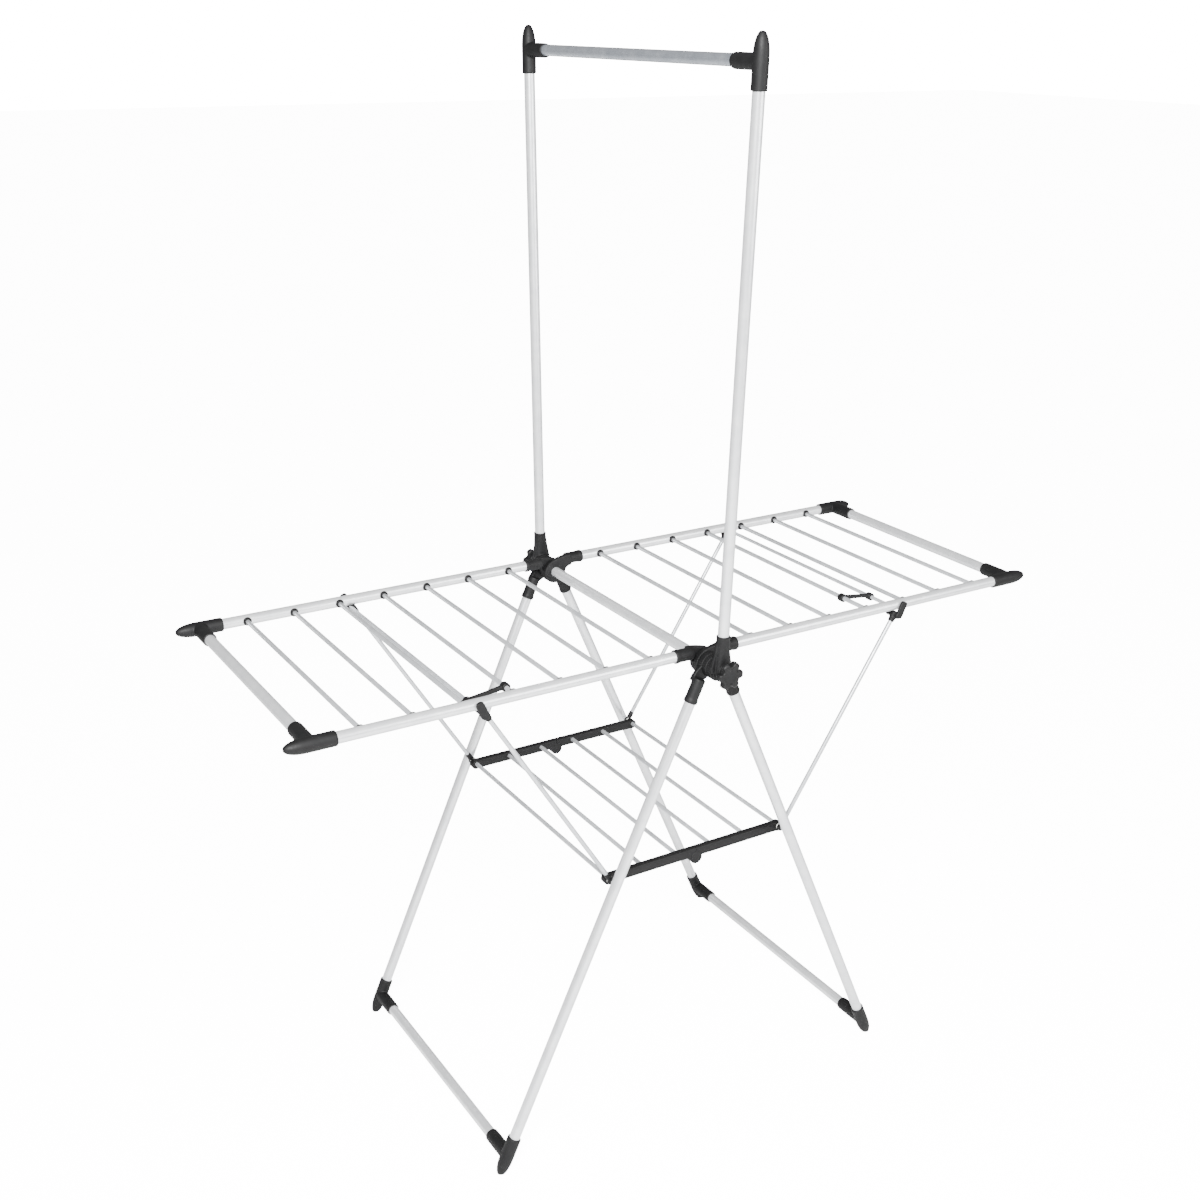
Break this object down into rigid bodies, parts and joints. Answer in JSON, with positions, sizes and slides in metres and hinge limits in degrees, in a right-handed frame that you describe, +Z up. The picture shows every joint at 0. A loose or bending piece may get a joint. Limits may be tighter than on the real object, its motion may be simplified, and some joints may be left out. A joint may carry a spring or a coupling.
{
  "type": "clothes drying rack",
  "caption": "Folding two-wing clothes drying rack on crossed leg frames, with a folding shelf, support stays and a tall hanging rail.",
  "frame": {"origin": "on the floor, midway between the four feet, under the pivot axis", "axes": "+Z up, X along the wings, +Y along the rods and the pivot axis"},
  "size_m": [1.468, 0.6968, 1.8586],
  "materials": {
    "tube": "silver lacquered tube, satin",
    "rod": "thin silver rod, satin",
    "hanging_rail": "brighter silver rail",
    "stay": "thin silver rod with charcoal plastic ends",
    "shelf": "charcoal bars with thin silver rods",
    "fitting": "moulded charcoal plastic, fine matt texture",
    "knob": "moulded charcoal plastic, fine matt texture"
  },
  "bodies": {
    "crossbar": {"crossbar_tube": "tube"},
    "mast": {"mast_socket_near": "fitting", "mast_tube_near": "tube", "mast_corner_cap_near": "fitting", "mast_socket_far": "fitting", "mast_tube_far": "tube", "mast_corner_cap_far": "fitting", "hanging_rail": "hanging_rail"},
    "knob_near": {"knob_near": "knob"},
    "knob_far": {"knob_far": "knob"},
    "right_leg_frame": {"right_leg_knuckle_near": "fitting", "right_leg_near": "tube", "right_foot_cap_near": "fitting", "right_leg_knuckle_far": "fitting", "right_leg_far": "tube", "right_foot_cap_far": "fitting", "right_foot_rail": "tube"},
    "right_wing": {"right_wing_knuckle_near": "fitting", "right_wing_rail_near": "tube", "right_wing_corner_cap_near": "fitting", "right_wing_knuckle_far": "fitting", "right_wing_rail_far": "tube", "right_wing_corner_cap_far": "fitting", "right_wing_end_tube": "tube", "right_wing_rod_1": "rod", "right_wing_rod_2": "rod", "right_wing_rod_3": "rod", "right_wing_rod_4": "rod", "right_wing_rod_5": "rod", "right_wing_rod_6": "rod", "right_wing_rod_7": "rod"},
    "right_link": {"right_stay_link": "fitting"},
    "right_stay": {"right_stay": "stay"},
    "right_shelf": {"right_shelf_half": "shelf"},
    "left_leg_frame": {"left_leg_knuckle_near": "fitting", "left_leg_near": "tube", "left_foot_cap_near": "fitting", "left_leg_knuckle_far": "fitting", "left_leg_far": "tube", "left_foot_cap_far": "fitting", "left_foot_rail": "tube"},
    "left_wing": {"left_wing_knuckle_near": "fitting", "left_wing_rail_near": "tube", "left_wing_corner_cap_near": "fitting", "left_wing_knuckle_far": "fitting", "left_wing_rail_far": "tube", "left_wing_corner_cap_far": "fitting", "left_wing_end_tube": "tube", "left_wing_rod_1": "rod", "left_wing_rod_2": "rod", "left_wing_rod_3": "rod", "left_wing_rod_4": "rod", "left_wing_rod_5": "rod", "left_wing_rod_6": "rod", "left_wing_rod_7": "rod"},
    "left_link": {"left_stay_link": "fitting"},
    "left_stay": {"left_stay": "stay"},
    "left_shelf": {"left_shelf_half": "shelf"}
  },
  "joints": [
    {"name": "right_leg_fold", "type": "hinge", "parent": "crossbar", "child": "right_leg_frame", "pos_m": [0, 0, 0.874], "axis": [0, 1, 0], "range_deg": [0, 21]},
    {"name": "left_leg_fold", "type": "hinge", "parent": "crossbar", "child": "left_leg_frame", "pos_m": [0, 0, 0.874], "axis": [0, -1, 0], "range_deg": [0, 21]},
    {"name": "left_shelf_fold", "type": "hinge", "parent": "left_leg_frame", "child": "left_shelf", "pos_m": [-0.17996, 0, 0.509], "axis": [0, -1, 0], "range_deg": [0, 61.2]},
    {"name": "shelf_centre_fold", "type": "hinge", "parent": "left_shelf", "child": "right_shelf", "pos_m": [0, 0, 0.497], "axis": [0, 1, 0], "range_deg": [0, 164.3]},
    {"name": "right_wing_fold", "type": "hinge", "parent": "right_leg_frame", "child": "right_wing", "pos_m": [0, 0, 0.874], "axis": [0, 1, 0], "range_deg": [0, 60]},
    {"name": "right_stay_swing", "type": "hinge", "parent": "right_leg_frame", "child": "right_stay", "pos_m": [0.17996, 0, 0.509], "axis": [0, 1, 0], "range_deg": [0, 117.2]},
    {"name": "right_link_turn", "type": "hinge", "parent": "right_wing", "child": "right_link", "pos_m": [0.3565, 0, 0.893], "axis": [0, -1, 0], "range_deg": [0, 100]},
    {"name": "left_wing_fold", "type": "hinge", "parent": "left_leg_frame", "child": "left_wing", "pos_m": [0, 0, 0.874], "axis": [0, -1, 0], "range_deg": [0, 60]},
    {"name": "left_stay_swing", "type": "hinge", "parent": "left_leg_frame", "child": "left_stay", "pos_m": [-0.17996, 0, 0.509], "axis": [0, -1, 0], "range_deg": [0, 117.2]},
    {"name": "left_link_turn", "type": "hinge", "parent": "left_wing", "child": "left_link", "pos_m": [-0.3565, 0, 0.893], "axis": [0, 1, 0], "range_deg": [0, 100]},
    {"name": "mast_swing", "type": "hinge", "parent": "crossbar", "child": "mast", "pos_m": [0, 0, 0.874], "axis": [0, 1, 0], "range_deg": [-150, 150]},
    {"name": "knob_near_turn", "type": "hinge", "parent": "mast", "child": "knob_near", "pos_m": [0, 0, 0.874], "axis": [0, -1, 0], "continuous": true},
    {"name": "knob_far_turn", "type": "hinge", "parent": "mast", "child": "knob_far", "pos_m": [0, 0, 0.874], "axis": [0, 1, 0], "continuous": true}
  ],
  "couplings": [
    {"joint": "left_leg_fold", "follows": "right_leg_fold", "ratio": 1},
    {"joint": "left_shelf_fold", "follows": "right_leg_fold", "ratio": 2.9005},
    {"joint": "shelf_centre_fold", "follows": "right_leg_fold", "ratio": 7.8011},
    {"joint": "right_stay_swing", "follows": "right_wing_fold", "ratio": 1.95},
    {"joint": "left_stay_swing", "follows": "left_wing_fold", "ratio": 1.95}
  ]
}
